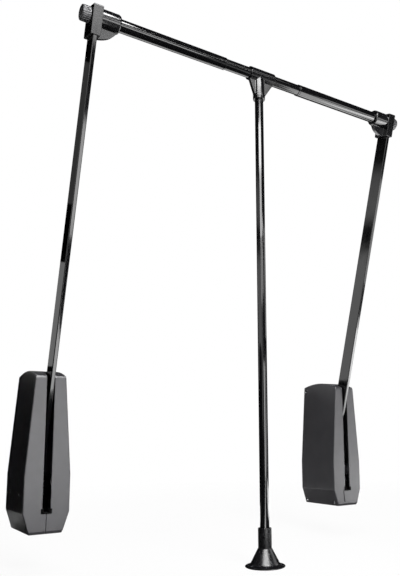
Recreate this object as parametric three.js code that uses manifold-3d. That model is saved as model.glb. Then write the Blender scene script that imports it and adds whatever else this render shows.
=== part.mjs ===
import * as THREE from 'three';
import { mergeVertices } from 'three/addons/utils/BufferGeometryUtils.js';
import Module from 'manifold-3d';

const wasm = await Module();
wasm.setup();

// A pull down closet rod: two spring housings on the cabinet's sides carry lift arms, a telescopic rail
// joins the arms, and a handle hangs from the rail. Millimetres, +Z up, the room is at -Y.
// The origin is the middle of the left housing's flat on the cabinet's side.

// Driving dimensions of the whole
const armSpacing = 663;
const pivotToRail = 794.2;
const armLean = THREE.MathUtils.degToRad(16.4);
const handleReach = 897.2;
const handleOffset = -8;

// Housing
const housingDepth = 114.5;
const housingFrontHeight = 257.3;
const housingBackRise = 8.7;
const housingCrownRise = 7;
const housingBrowDepth = 1.8;
const housingBrowRise = 4.2;
const housingFootDepth = 3;
const housingFootRise = 4.5;
const housingTopHalf = 26.2;
const housingWaistHalf = 38.5;
const housingWaistHeight = 94.8;
const housingKneeHeight = 34.3;
const housingBottomHalf = 27.3;
const housingWall = 2.5;
const slotWidth = 13.3;
const slotFloor = 32.5;
const slotTopReach = 25.5;

// Pivot
const pivotHeight = 72;
const pivotDepth = 2.3;
const axleRadius = 5;
const axleBossWall = 4.5;
const bushWall = 2;
const hubRadius = 18;
const hubWidth = 11;
const damperRadius = 19;
const damperWidth = 15;
const damperFlange = 3;
const damperFlangeWidth = 4;
const damperSpace = 2.5;

// Arm, a flat rectangular tube
const armWidth = 7.2;
const armDepth = 30.8;
const armWall = 1.2;
const armCorner = 1.5;
const armCornerFacets = 3;
const armStart = 24;
const tongueLength = 46;

// Lift spring and its pins
const crankReach = 52;
const crankPinRadius = 2.5;
const crankPinTail = 5;
const springWire = 2;
const springRadius = 5.5;
const springTurns = 16;
const springHookRun = 12;
const springHookSteps = 6;
const springTurnSteps = 8;
const springWireSides = 5;
const hookStartShare = 0.25;
const hookEndShare = 1.5;
const hookClearance = 1.2;
const springPlane = 14;
const anchorInset = 25.5;
const anchorDepth = 34;
const anchorPinRadius = 3;
const anchorBossWall = 3;
const pinOvershoot = 7;

// Stops, tab and mounting plate
const bufferWing = 2.7;
const bufferHeight = 8;
const bufferFloor = 2.2;
const bufferReach = 9;
const bufferLip = 1.4;
const bufferNotchWidth = 8.8;
const padHeight = 14;
const padThickness = 4;
const tabTopWidth = 24;
const tabBottomWidth = 19;
const tabHeight = 24;
const tabThickness = 1.2;
const plateThickness = 2;
const plateMargin = 4;
const plateDepth = 88;
const mountHoleSpacing = 60;
const mountHoleRadius = 3;

// Housing screws
const screwShankRadius = 1.6;
const screwHeadRadius = 3.5;
const screwHeadHeight = 2.4;
const screwBossWall = 3.6;
const screwSeatDepth = 4;
const screwGrip = 14;
const screwBackInset = 7;
const screwFrontInset = 13;
const screwFootInset = 7.5;
const screwTopInset = 11;

// Corner bracket and knob
const bracketWidth = 16.4;
const bracketRise = 15.5;
const bracketDrop = 32;
const bracketHeel = 1.5;
const bracketFrontWall = 1.8;
const bracketBackWall = 4.2;
const bracketCrownRadius = 14;
const bracketNoseRadius = 2;
const bracketFootBevel = 2;
const socketRadius = 16;
const socketLength = 33;
const socketBevel = 3;
const socketFloor = 1;
const pocketTop = 6;
const webThickness = 9;
const webDrop = 33.5;
const webStartShare = 0.75;
const webCurveReachShare = 0.74;
const webCurveDropShare = 0.88;
const knobRadius = 13;
const knobLength = 15;
const knobFlutes = 24;
const knobFluteDepth = 0.5;
const knobStudRadius = 3;
const knobStudLength = 6;

// Rail
const railTubeRadius = 11;
const railTubeWall = 0.9;
const railExposed = 168;
const railOverlap = 120;
const railBushLength = 3;
const middleTubeRadius = 9.8;
const middleTubeWall = 1.1;

// Tee, handle and bell
const teeLength = 54;
const teeOffset = 4.5;
const teeWall = 2.4;
const teeDrop = 49;
const teeColumnRadius = 10.4;
const teeRingRadius = 11.4;
const teeRingHeight = 9;
const teeWebThickness = 7;
const teeWebTop = 5;
const handleRadius = 8;
const handleWall = 1.2;
const handleSeat = 18;
const bellCollarRadius = 11.6;
const bellCollarHeight = 33.5;
const bellConeTopRadius = 12.3;
const bellConeBottomRadius = 25.8;
const bellConeHeight = 25.5;
const bellBrimRadius = 34.3;
const bellBrimHeight = 4.5;
const bellBrimEdge = 2;
const bellSeat = 27.5;
const bellCapRadius = 24;
const bellCapThickness = 2.1;

// Clearances, one overrun for all cuts, and how near to each other corners are merged
const gap = 0.3;
const seamGap = 0.3;
const overrun = 2;
const weldTolerance = 1e-4;

// Facets of round pieces
const coarse = 14;
const medium = 20;
const fine = 32;

// Derived places
const mountHeight = (housingKneeHeight + housingWaistHeight) / 2;
const housingFront = -housingDepth / 2;
const housingBack = housingDepth / 2;
const arcHeight = housingFrontHeight + housingBrowRise;
const housingBackHeight = housingFrontHeight + housingBackRise;
const housingCrownHeight = housingBackHeight + housingCrownRise;
const anchorHeight = arcHeight - anchorInset;
const bushRadius = axleRadius + gap + bushWall;
const axleBossRadius = axleRadius + gap + axleBossWall;
const damperOuterFace = hubWidth / 2 + damperSpace + damperWidth;
const railBore = railTubeRadius - railTubeWall;

const finishes = {
  housing: { color: 0x2c2b2d, roughness: 0.45, metalness: 0 },
  gloss: { color: 0x08080a, roughness: 0.12, metalness: 0.4 },
  moulding: { color: 0x151517, roughness: 0.32, metalness: 0 },
  grip: { color: 0x2a2a2c, roughness: 0.6, metalness: 0 },
  rubber: { color: 0x0b0b0b, roughness: 0.8, metalness: 0 },
  steel: { color: 0xb4b6ba, roughness: 0.3, metalness: 1 },
};

// Geometry helpers

function welded(geometry) {
  const bare = geometry.clone();
  bare.deleteAttribute('normal');
  bare.deleteAttribute('uv');
  const merged = mergeVertices(bare, weldTolerance);
  const index = merged.index.array;
  const kept = [];
  for (let i = 0; i < index.length; i += 3) {
    const [a, b, c] = [index[i], index[i + 1], index[i + 2]];
    if (a !== b && b !== c && c !== a) kept.push(a, b, c);
  }
  merged.setIndex(kept);
  return signedVolume(merged) < 0 ? reversed(merged) : merged;
}

function signedVolume(geometry) {
  const position = geometry.attributes.position;
  const corners = [new THREE.Vector3(), new THREE.Vector3(), new THREE.Vector3()];
  let sum = 0;
  for (let i = 0; i < geometry.index.count; i += 3) {
    corners.forEach((corner, k) => corner.fromBufferAttribute(position, geometry.index.getX(i + k)));
    sum += corners[0].dot(corners[1].clone().cross(corners[2]));
  }
  return sum / 6;
}

function reversed(geometry) {
  const index = Array.from(geometry.index.array);
  for (let i = 0; i < index.length; i += 3) {
    [index[i + 1], index[i + 2]] = [index[i + 2], index[i + 1]];
  }
  geometry.setIndex(index);
  return geometry;
}

function solid(geometry) {
  const body = welded(geometry);
  return new wasm.Manifold(new wasm.Mesh({
    numProp: 3,
    vertProperties: new Float32Array(body.attributes.position.array),
    triVerts: new Uint32Array(body.index.array),
  }));
}

function geometryOf(manifold) {
  const mesh = manifold.getMesh();
  const geometry = new THREE.BufferGeometry();
  geometry.setAttribute('position', new THREE.BufferAttribute(new Float32Array(mesh.vertProperties), 3));
  geometry.setIndex(Array.from(mesh.triVerts));
  return geometry;
}

function mirroredX(geometry) {
  const copy = welded(geometry);
  const position = copy.attributes.position;
  for (let i = 0; i < position.count; i += 1) position.setX(i, -position.getX(i));
  return reversed(copy);
}

function shapeOf(points) {
  return new THREE.Shape(points.map(([u, v]) => new THREE.Vector2(u, v)));
}

// A plate whose outline is drawn in Y and Z
function alongX(shape, from, to, curveSegments = coarse) {
  const plate = new THREE.ExtrudeGeometry(shape, { depth: to - from, bevelEnabled: false, curveSegments });
  const turn = new THREE.Matrix4().makeBasis(
    new THREE.Vector3(0, 1, 0), new THREE.Vector3(0, 0, 1), new THREE.Vector3(1, 0, 0));
  return plate.applyMatrix4(turn).translate(from, 0, 0);
}

// A plate whose outline is drawn in X and Z
function alongY(shape, from, to, curveSegments = coarse) {
  const plate = new THREE.ExtrudeGeometry(shape, { depth: to - from, bevelEnabled: false, curveSegments });
  return plate.rotateX(Math.PI / 2).translate(0, to, 0);
}

function box(x, y, z) {
  const size = [x, y, z].map(([low, high]) => high - low);
  const middle = [x, y, z].map(([low, high]) => (low + high) / 2);
  return new THREE.BoxGeometry(...size).translate(...middle);
}

function rodX(radius, from, to, y, z, facets = coarse) {
  const rod = new THREE.CylinderGeometry(radius, radius, to - from, facets);
  return rod.rotateZ(-Math.PI / 2).translate((from + to) / 2, y, z);
}

function rodZ(radius, from, to, facets = medium) {
  const rod = new THREE.CylinderGeometry(radius, radius, to - from, facets);
  return rod.rotateX(Math.PI / 2).translate(0, 0, (from + to) / 2);
}

// A profile of radius and height, turned about Z
function turnedZ(profile, facets) {
  const points = profile.map(([radius, height]) => new THREE.Vector2(radius, height));
  return new THREE.LatheGeometry(points, facets).rotateX(Math.PI / 2);
}

// The same, turned about X
function turnedX(profile, facets) {
  return turnedZ(profile, facets).rotateY(Math.PI / 2);
}

function tubeProfile(inner, outer, from, to) {
  return [[inner, from], [outer, from], [outer, to], [inner, to], [inner, from]];
}

function roundedRectangle(width, depth, radius) {
  const [x, y] = [width / 2, depth / 2];
  const outline = new THREE.Shape();
  outline.absarc(x - radius, y - radius, radius, 0, Math.PI / 2);
  outline.absarc(radius - x, y - radius, radius, Math.PI / 2, Math.PI);
  outline.absarc(radius - x, radius - y, radius, Math.PI, Math.PI * 1.5);
  outline.absarc(x - radius, radius - y, radius, Math.PI * 1.5, Math.PI * 2);
  return outline;
}

// Housing shells

function housingHalfAt(height) {
  const rise = housingFrontHeight - housingWaistHeight;
  const upper = housingTopHalf + (housingWaistHalf - housingTopHalf) * (housingFrontHeight - height) / rise;
  const lower = housingBottomHalf + (housingWaistHalf - housingBottomHalf) * height / housingKneeHeight;
  return Math.min(upper, lower, housingWaistHalf);
}

function frontOutline(inset, seam) {
  const top = housingCrownHeight + overrun;
  return shapeOf([
    [seam, inset],
    [housingHalfAt(inset) - inset, inset],
    [housingWaistHalf - inset, housingKneeHeight],
    [housingWaistHalf - inset, housingWaistHeight],
    [housingHalfAt(top) - inset, top],
    [seam, top],
  ]);
}

function sideOutline(inset) {
  const control = 2 * housingCrownHeight - (arcHeight + housingBackHeight) / 2 - inset;
  const outline = new THREE.Shape();
  outline.moveTo(housingFront + housingFootDepth + inset, inset);
  outline.lineTo(housingBack - inset, inset);
  outline.lineTo(housingBack - inset, housingBackHeight - inset);
  outline.quadraticCurveTo(0, control, housingFront + housingBrowDepth + inset, arcHeight - inset);
  outline.lineTo(housingFront + inset, housingFrontHeight - inset);
  outline.lineTo(housingFront + inset, housingFootRise + inset);
  return outline;
}

// Half of the housing's form on the +X side of the seam
function halfForm(inset, seam) {
  const front = alongY(frontOutline(inset, seam), housingFront + inset, housingBack - inset);
  const side = alongX(sideOutline(inset), seam, housingWaistHalf + overrun);
  return solid(front).intersect(solid(side));
}

function screwPlaces() {
  return [
    { depth: housingBack - screwBackInset, height: housingBackHeight - screwTopInset },
    { depth: housingBack - screwBackInset, height: screwFootInset },
    { depth: housingFront + screwFrontInset, height: screwFootInset },
  ];
}

function slotCut() {
  const half = slotWidth / 2;
  const top = housingCrownHeight + overrun;
  const mouth = box(
    [-half, half],
    [housingFront - overrun, housingFront + housingWall + overrun],
    [slotFloor, top],
  );
  const crown = box(
    [-half, half],
    [housingFront - overrun, housingFront + slotTopReach],
    [housingFrontHeight - housingBrowRise - housingWall, top],
  );
  return solid(mouth).add(solid(crown));
}

// A half shell with its bosses. Seam at X = 0, cabinet or room side at +X.
function halfShell(bossFace) {
  const form = halfForm(0, seamGap / 2);
  const bossRadius = screwShankRadius + gap + screwBossWall;
  let bosses = solid(rodX(axleBossRadius, bossFace, housingWaistHalf, pivotDepth, pivotHeight, medium));
  for (const { depth, height } of screwPlaces()) {
    bosses = bosses.add(solid(rodX(bossRadius, 0, housingWaistHalf, depth, height)));
  }
  const hollow = halfForm(housingWall, -overrun);
  const bore = rodX(
    axleRadius + gap, bossFace - overrun, housingWaistHalf - housingWall, pivotDepth, pivotHeight, medium);
  return form.subtract(hollow).add(bosses.intersect(form)).subtract(solid(bore)).subtract(slotCut());
}

function outerShell() {
  let shell = halfShell(springPlane - springRadius);
  const anchorWall = anchorPinRadius + gap + anchorBossWall;
  const bossStart = springPlane + springRadius + springWire;
  const anchorBoss = solid(rodX(anchorWall, bossStart, housingWaistHalf, anchorDepth, anchorHeight));
  shell = shell.add(anchorBoss.intersect(halfForm(0, seamGap / 2)));
  const anchorBore = rodX(anchorPinRadius + gap, 0, anchorEnd() + gap, anchorDepth, anchorHeight);
  shell = shell.subtract(solid(anchorBore));
  for (const { depth, height } of screwPlaces()) {
    shell = shell.subtract(solid(rodX(screwShankRadius + gap, -overrun, screwGrip + gap, depth, height)));
  }
  for (const y of mountHolePlaces()) {
    const hole = rodX(mountHoleRadius, 0, housingWaistHalf + overrun, y, mountHeight);
    shell = shell.subtract(solid(hole));
  }
  return geometryOf(shell);
}

function innerShell() {
  let shell = halfShell(damperOuterFace + gap);
  for (const { depth, height } of screwPlaces()) {
    const seat = housingHalfAt(height) - screwSeatDepth;
    const reach = housingWaistHalf + overrun;
    shell = shell.subtract(solid(rodX(screwShankRadius + gap, -overrun, reach, depth, height)));
    shell = shell.subtract(solid(rodX(screwHeadRadius + gap, seat, reach, depth, height)));
  }
  return mirroredX(geometryOf(shell));
}

function housingScrew({ depth, height }) {
  const seat = housingHalfAt(height) - screwSeatDepth + gap;
  const profile = [
    [0, -screwGrip],
    [screwShankRadius, -screwGrip],
    [screwShankRadius, seat],
    [screwHeadRadius, seat],
    [screwHeadRadius, seat + screwHeadHeight / 2],
    [screwHeadRadius / 2, seat + screwHeadHeight],
    [0, seat + screwHeadHeight],
  ];
  return mirroredX(turnedX(profile, coarse).translate(0, depth, height));
}

function mountHolePlaces() {
  return [-mountHoleSpacing / 2, mountHoleSpacing / 2];
}

function mountPlate() {
  const outer = housingWaistHalf - housingWall - gap;
  let plate = solid(box(
    [outer - plateThickness, outer],
    [-plateDepth / 2, plateDepth / 2],
    [housingKneeHeight + plateMargin, housingWaistHeight - plateMargin],
  ));
  const window = rodX(axleBossRadius + gap, 0, housingWaistHalf, pivotDepth, pivotHeight, medium);
  plate = plate.subtract(solid(window));
  for (const y of mountHolePlaces()) {
    plate = plate.subtract(solid(rodX(mountHoleRadius, 0, housingWaistHalf, y, mountHeight)));
  }
  return geometryOf(plate);
}

// Rubber piece in the slot's lower end, with a lip over the front face
function stopBuffer() {
  const half = slotWidth / 2 - gap;
  const floor = slotFloor + gap;
  const lipBack = housingFront - gap;
  const top = floor + bufferHeight;
  const block = box([-half, half], [lipBack - bufferLip, housingFront + bufferReach], [floor, top]);
  const wings = box([-half - bufferWing, half + bufferWing], [lipBack - bufferLip, lipBack], [floor, top]);
  const notch = box(
    [-bufferNotchWidth / 2, bufferNotchWidth / 2],
    [lipBack - bufferLip - overrun, housingFront + bufferReach + overrun],
    [floor + bufferFloor, top + overrun],
  );
  return geometryOf(solid(block).add(solid(wings)).subtract(solid(notch)));
}

// Cover strip over the seam below the slot
function seamTab() {
  const top = slotFloor - gap;
  const outline = shapeOf([
    [-tabTopWidth / 2, top],
    [-tabBottomWidth / 2, top - tabHeight],
    [tabBottomWidth / 2, top - tabHeight],
    [tabTopWidth / 2, top],
  ]);
  return alongY(outline, housingFront - gap - tabThickness, housingFront - gap);
}

// Pivot pieces

function axle() {
  const end = housingWaistHalf - housingWall - gap;
  return rodX(axleRadius, -end, end, pivotDepth, pivotHeight, medium);
}

function damper() {
  const inner = hubWidth / 2 + damperSpace;
  const bore = axleRadius + gap;
  const outline = [
    [bore, inner],
    [damperRadius, inner],
    [damperRadius, damperOuterFace - damperFlangeWidth],
    [damperRadius + damperFlange, damperOuterFace - damperFlangeWidth],
    [damperRadius + damperFlange, damperOuterFace],
    [bore, damperOuterFace],
    [bore, inner],
  ];
  return mirroredX(turnedX(outline, medium).translate(0, pivotDepth, pivotHeight));
}

function anchorEnd() {
  return housingHalfAt(anchorHeight + anchorPinRadius) - housingWall - gap;
}

function springAnchor() {
  return rodX(anchorPinRadius, springPlane - pinOvershoot, anchorEnd(), anchorDepth, anchorHeight);
}

// Pieces below are drawn in the arm's own frame: pivot at the origin, the arm along +Z

function hub() {
  const tongueHalf = armWidth / 2 - armWall - gap;
  const tongueDepth = armDepth / 2 - armWall - gap;
  const disc = solid(rodX(hubRadius, -hubWidth / 2, hubWidth / 2, 0, 0, fine));
  const tongueEnd = armStart + tongueLength;
  const tongue = solid(box([-tongueHalf, tongueHalf], [-tongueDepth, tongueDepth], [0, tongueEnd]));
  const bore = solid(rodX(bushRadius + gap, -hubWidth, hubWidth, 0, 0, medium));
  const pinHole = solid(rodX(crankPinRadius + gap, -hubWidth, hubWidth, 0, crankReach));
  return geometryOf(disc.add(tongue).subtract(bore).subtract(pinHole));
}

function pivotBush() {
  return turnedX(tubeProfile(axleRadius + gap, bushRadius, -hubWidth / 2, hubWidth / 2), medium);
}

function crankPin() {
  const outerEnd = springPlane + springRadius + springWire;
  return rodX(crankPinRadius, -crankPinTail, outerEnd, 0, crankReach);
}

function arm() {
  const outline = roundedRectangle(armWidth, armDepth, armCorner);
  outline.holes.push(roundedRectangle(armWidth - 2 * armWall, armDepth - 2 * armWall, armCorner / 2));
  const tube = new THREE.ExtrudeGeometry(outline, {
    depth: pivotToRail - pocketTop - gap - armStart,
    bevelEnabled: false,
    curveSegments: armCornerFacets,
  });
  const pinHole = solid(rodX(crankPinRadius + gap, -armWidth, armWidth, 0, crankReach));
  return geometryOf(solid(tube.translate(0, 0, armStart)).subtract(pinHole));
}

// Rubber pad behind the arm at the top of the slot, which stops the arm's return
function topPad() {
  const half = slotWidth / 2 - gap;
  const front = armDepth / 2 + gap;
  const top = (arcHeight - pivotHeight) / Math.cos(armLean) - (front + padThickness) * Math.tan(armLean);
  return box([-half, half], [front, front + padThickness], [top - padHeight, top]);
}

// Bracket pieces are drawn about the rail's axis, the arm along Z, the cabinet's side at +X

function bracketOutline() {
  const front = -(armDepth / 2 + gap + bracketFrontWall);
  const back = armDepth / 2 + gap + bracketBackWall;
  const outline = new THREE.Shape();
  const foot = -bracketDrop - bracketHeel;
  outline.moveTo(front, -bracketDrop);
  outline.lineTo(back - bracketFootBevel, foot);
  outline.lineTo(back, foot + bracketFootBevel);
  const [crown, nose] = [bracketCrownRadius, bracketNoseRadius];
  outline.lineTo(back, bracketRise - crown);
  outline.absarc(back - crown, bracketRise - crown, crown, 0, Math.PI / 2);
  outline.absarc(front + nose, bracketRise - nose, nose, Math.PI / 2, Math.PI);
  return outline;
}

function webOutline() {
  const root = -bracketWidth / 2;
  const tip = root - socketLength + socketBevel / 2;
  const outline = new THREE.Shape();
  outline.moveTo(root, 0);
  outline.lineTo(tip, 0);
  outline.lineTo(tip, -webStartShare * socketRadius);
  outline.quadraticCurveTo(
    root - webCurveReachShare * socketLength,
    -webCurveDropShare * webDrop,
    root,
    -webDrop,
  );
  return outline;
}

function bracket() {
  const half = bracketWidth / 2;
  const end = half + socketLength;
  const block = solid(alongX(bracketOutline(), -half, half));
  const socket = solid(mirroredX(turnedX([
    [0, 0],
    [socketRadius, 0],
    [socketRadius, end - socketBevel],
    [socketRadius - socketBevel / 2, end],
    [0, end],
  ], fine)));
  const web = solid(alongY(webOutline(), -webThickness / 2, webThickness / 2));
  const pocket = solid(box(
    [-armWidth / 2 - gap, armWidth / 2 + gap],
    [-armDepth / 2 - gap, armDepth / 2 + gap],
    [-bracketDrop - bracketHeel - overrun, -pocketTop],
  ));
  const railBoreCut = solid(rodX(railTubeRadius + gap, -end - overrun, socketFloor - half, 0, 0, fine));
  const studCut = solid(rodX(knobStudRadius + gap, half - knobStudLength - gap, half + overrun, 0, 0));
  const body = block.add(socket).add(web);
  return geometryOf(body.subtract(pocket).subtract(railBoreCut).subtract(studCut));
}

function knob() {
  const seat = bracketWidth / 2 + gap;
  const outline = [];
  for (let i = 0; i < 2 * knobFlutes; i += 1) {
    const angle = i * Math.PI / knobFlutes;
    const radius = knobRadius - (i % 2) * knobFluteDepth;
    outline.push([radius * Math.cos(angle), radius * Math.sin(angle)]);
  }
  const grip = solid(alongX(shapeOf(outline), seat, seat + knobLength));
  const stud = solid(rodX(knobStudRadius, bracketWidth / 2 - knobStudLength, seat + overrun, 0, 0));
  return geometryOf(grip.add(stud));
}

function railTube() {
  const start = bracketWidth / 2 - socketFloor + gap;
  const end = armSpacing / 2 - railExposed / 2 - railBushLength - gap;
  return mirroredX(turnedX(tubeProfile(railBore, railTubeRadius, start, end), fine));
}

function railBush() {
  const end = armSpacing / 2 - railExposed / 2;
  const profile = tubeProfile(middleTubeRadius + gap, railTubeRadius, end - railBushLength, end);
  return mirroredX(turnedX(profile, fine));
}

function middleTube() {
  const half = railExposed / 2 + railOverlap;
  return turnedX(tubeProfile(middleTubeRadius - middleTubeWall, middleTubeRadius, -half, half), fine);
}

// Handle pieces are drawn about the point where the handle's line meets the rail's axis

function tee() {
  const low = teeOffset - teeLength / 2;
  const high = teeOffset + teeLength / 2;
  const sleeve = solid(rodX(middleTubeRadius + gap + teeWall, low, high, 0, 0, fine));
  const column = solid(rodZ(teeColumnRadius, -teeDrop, 0));
  const ring = solid(rodZ(teeRingRadius, -teeDrop, teeRingHeight - teeDrop));
  const web = solid(alongY(shapeOf([
    [low, -teeWebTop],
    [low, -middleTubeRadius],
    [-teeRingRadius, teeRingHeight - teeDrop],
    [teeRingRadius, teeRingHeight - teeDrop],
    [high, -middleTubeRadius],
    [high, -teeWebTop],
  ]), -teeWebThickness / 2, teeWebThickness / 2));
  const bore = solid(rodX(middleTubeRadius + gap, low - overrun, high + overrun, 0, 0, fine));
  const seat = solid(rodZ(handleRadius + gap, -teeDrop - overrun, -handleSeat));
  return geometryOf(sleeve.add(column).add(ring).add(web).subtract(bore).subtract(seat));
}

function handleTube() {
  const bottom = -handleReach + bellHeight() - bellSeat + gap;
  return turnedZ(tubeProfile(handleRadius - handleWall, handleRadius, bottom, -handleSeat - gap), medium);
}

function bellHeight() {
  return bellBrimHeight + bellConeHeight + bellCollarHeight;
}

function bell() {
  const coneTop = bellBrimHeight + bellConeHeight;
  const recess = bellCapThickness + gap;
  const profile = [
    [0, recess],
    [bellCapRadius + gap, recess],
    [bellCapRadius + gap, 0],
    [bellBrimRadius - bellBrimEdge / 2, 0],
    [bellBrimRadius, bellBrimEdge / 2],
    [bellBrimRadius, bellBrimEdge],
    [bellConeBottomRadius, bellBrimHeight],
    [bellConeTopRadius, coneTop],
    [bellCollarRadius, coneTop],
    [bellCollarRadius, bellHeight()],
    [handleRadius + gap, bellHeight()],
    [handleRadius + gap, bellHeight() - bellSeat],
    [0, bellHeight() - bellSeat],
  ];
  return turnedZ(profile, fine).translate(0, 0, -handleReach);
}

function bellCap() {
  return rodZ(bellCapRadius, -handleReach, bellCapThickness - handleReach, fine);
}

// The lift spring: a hook round each pin and turns between them, one unbroken wire

class SpringLine extends THREE.Curve {
  constructor(from, to, fromRadius, toRadius) {
    super();
    this.from = from;
    this.along = to.clone().sub(from).normalize();
    this.across = new THREE.Vector3(1, 0, 0).cross(this.along);
    this.span = to.distanceTo(from);
    this.points = this.route(fromRadius, toRadius);
    this.line = new THREE.CatmullRomCurve3(this.points, false, 'centripetal');
  }

  // A place given by its run along the spring, its offset along X and its offset across
  place(run, offsetX, offsetAcross) {
    return this.from.clone()
      .addScaledVector(this.along, run)
      .add(new THREE.Vector3(offsetX, 0, 0))
      .addScaledVector(this.across, offsetAcross);
  }

  // An open loop round a pin, from its free end to the side where the wire leaves for the turns
  hook(centre, radius, towards) {
    const points = [];
    for (let i = 0; i <= springHookSteps; i += 1) {
      const angle = Math.PI * (hookStartShare + (hookEndShare - hookStartShare) * i / springHookSteps);
      points.push(this.place(centre + towards * radius * Math.cos(angle), 0, radius * Math.sin(angle)));
    }
    return points;
  }

  route(fromRadius, toRadius) {
    const points = this.hook(0, fromRadius, 1);
    const steps = springTurns * springTurnSteps;
    const start = fromRadius + springHookRun;
    const end = this.span - toRadius - springHookRun;
    for (let i = 0; i <= steps; i += 1) {
      const share = i / steps;
      const angle = Math.PI + share * springTurns * 2 * Math.PI;
      const run = start + (end - start) * share;
      points.push(this.place(run, springRadius * Math.sin(angle), springRadius * Math.cos(angle)));
    }
    return points.concat(this.hook(this.span, toRadius, -1).reverse());
  }

  getPoint(share, target = new THREE.Vector3()) {
    return this.line.getPoint(share, target);
  }
}

function spring() {
  const pin = new THREE.Vector3(springPlane, 0, crankReach)
    .applyAxisAngle(new THREE.Vector3(1, 0, 0), armLean)
    .add(new THREE.Vector3(0, pivotDepth, pivotHeight));
  const anchor = new THREE.Vector3(springPlane, anchorDepth, anchorHeight);
  const clearance = springWire / 2 + hookClearance;
  const line = new SpringLine(pin, anchor, crankPinRadius + clearance, anchorPinRadius + clearance);
  const wire = [];
  for (let i = 0; i < springWireSides; i += 1) {
    const angle = i * 2 * Math.PI / springWireSides;
    wire.push([springWire / 2 * Math.cos(angle), springWire / 2 * Math.sin(angle)]);
  }
  const steps = line.points.length - 1;
  return new THREE.ExtrudeGeometry(shapeOf(wire), { steps, bevelEnabled: false, extrudePath: line });
}

// The assembly

const model = new THREE.Group();
model.position.set(armSpacing / 2 + housingWaistHalf, 0, -mountHeight);

function add(parent, name, geometry, finish) {
  const mesh = new THREE.Mesh(geometry, new THREE.MeshStandardMaterial(finishes[finish]));
  mesh.name = name;
  parent.add(mesh);
}

for (const [side, sign] of [['left', -1], ['right', 1]]) {
  const sided = (geometry) => (sign > 0 ? geometry : mirroredX(geometry));
  const housing = new THREE.Group();
  housing.position.set(sign * armSpacing / 2, 0, 0);
  const swing = new THREE.Group();
  swing.position.set(0, pivotDepth, pivotHeight);
  swing.rotation.x = armLean;
  const corner = new THREE.Group();
  corner.position.set(0, 0, pivotToRail);
  model.add(housing);
  housing.add(swing);
  swing.add(corner);

  add(housing, `${side}_outer_shell`, sided(outerShell()), 'housing');
  add(housing, `${side}_inner_shell`, sided(innerShell()), 'housing');
  screwPlaces().forEach((place, i) => {
    add(housing, `${side}_housing_screw_${i + 1}`, sided(housingScrew(place)), 'steel');
  });
  add(housing, `${side}_mounting_plate`, sided(mountPlate()), 'steel');
  add(housing, `${side}_stop_buffer`, sided(stopBuffer()), 'rubber');
  add(housing, `${side}_axle`, sided(axle()), 'steel');
  add(housing, `${side}_damper`, sided(damper()), 'moulding');
  add(housing, `${side}_spring_anchor`, sided(springAnchor()), 'steel');
  add(housing, `${side}_lift_spring`, sided(spring()), 'steel');
  add(swing, `${side}_top_pad`, sided(topPad()), 'rubber');

  add(swing, `${side}_arm_hub`, sided(hub()), 'steel');
  add(swing, `${side}_pivot_bush`, sided(pivotBush()), 'moulding');
  add(swing, `${side}_crank_pin`, sided(crankPin()), 'steel');
  add(swing, `${side}_arm`, sided(arm()), 'gloss');
  add(corner, `${side}_corner_bracket`, sided(bracket()), 'moulding');
  add(corner, `${side}_end_knob`, sided(knob()), 'grip');
  add(corner, `${side}_rail_tube`, sided(railTube()), 'gloss');
  add(corner, `${side}_rail_bush`, sided(railBush()), 'moulding');
  if (side === 'right') add(housing, 'right_seam_tab', seamTab(), 'housing');
}

const railDepth = pivotDepth - pivotToRail * Math.sin(armLean);
const railHeight = pivotHeight + pivotToRail * Math.cos(armLean);
const rail = new THREE.Group();
rail.position.set(0, railDepth, railHeight);
const handle = new THREE.Group();
handle.position.set(handleOffset, 0, 0);
model.add(rail);
rail.add(handle);

add(rail, 'middle_rail_tube', middleTube(), 'gloss');
add(handle, 'tee_connector', tee(), 'moulding');
add(handle, 'handle_tube', handleTube(), 'gloss');
add(handle, 'handle_bell', bell(), 'moulding');
add(handle, 'bell_cap', bellCap(), 'moulding');

export default model;
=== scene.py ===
from math import atan2, cos, pi, radians, sin

import bmesh
import bpy
from mathutils import Matrix, Vector


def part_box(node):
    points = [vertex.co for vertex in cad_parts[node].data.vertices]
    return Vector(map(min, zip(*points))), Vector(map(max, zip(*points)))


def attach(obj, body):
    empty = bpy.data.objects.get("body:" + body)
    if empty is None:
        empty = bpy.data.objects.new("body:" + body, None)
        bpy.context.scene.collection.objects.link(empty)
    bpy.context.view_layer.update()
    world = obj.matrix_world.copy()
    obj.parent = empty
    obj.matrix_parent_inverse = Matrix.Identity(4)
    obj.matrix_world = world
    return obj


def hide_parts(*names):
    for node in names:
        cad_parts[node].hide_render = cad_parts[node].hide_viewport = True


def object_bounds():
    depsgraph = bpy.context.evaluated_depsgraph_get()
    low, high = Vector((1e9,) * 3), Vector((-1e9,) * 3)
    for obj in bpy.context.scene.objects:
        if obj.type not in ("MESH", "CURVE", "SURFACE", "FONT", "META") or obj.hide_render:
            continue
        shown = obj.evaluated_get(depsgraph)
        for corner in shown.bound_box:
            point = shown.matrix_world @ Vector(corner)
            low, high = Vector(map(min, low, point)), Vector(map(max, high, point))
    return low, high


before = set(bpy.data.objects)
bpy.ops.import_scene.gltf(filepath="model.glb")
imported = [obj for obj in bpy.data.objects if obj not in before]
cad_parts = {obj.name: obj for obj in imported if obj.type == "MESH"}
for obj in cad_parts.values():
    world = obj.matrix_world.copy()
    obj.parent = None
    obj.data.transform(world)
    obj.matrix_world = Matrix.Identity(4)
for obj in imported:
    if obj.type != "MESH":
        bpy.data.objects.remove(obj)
cad_low, cad_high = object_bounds()

# Camera
# It stands low in the room, left of the rod, and looks a little up at it. The lens shift repeats the
# photograph's crop.

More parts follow.
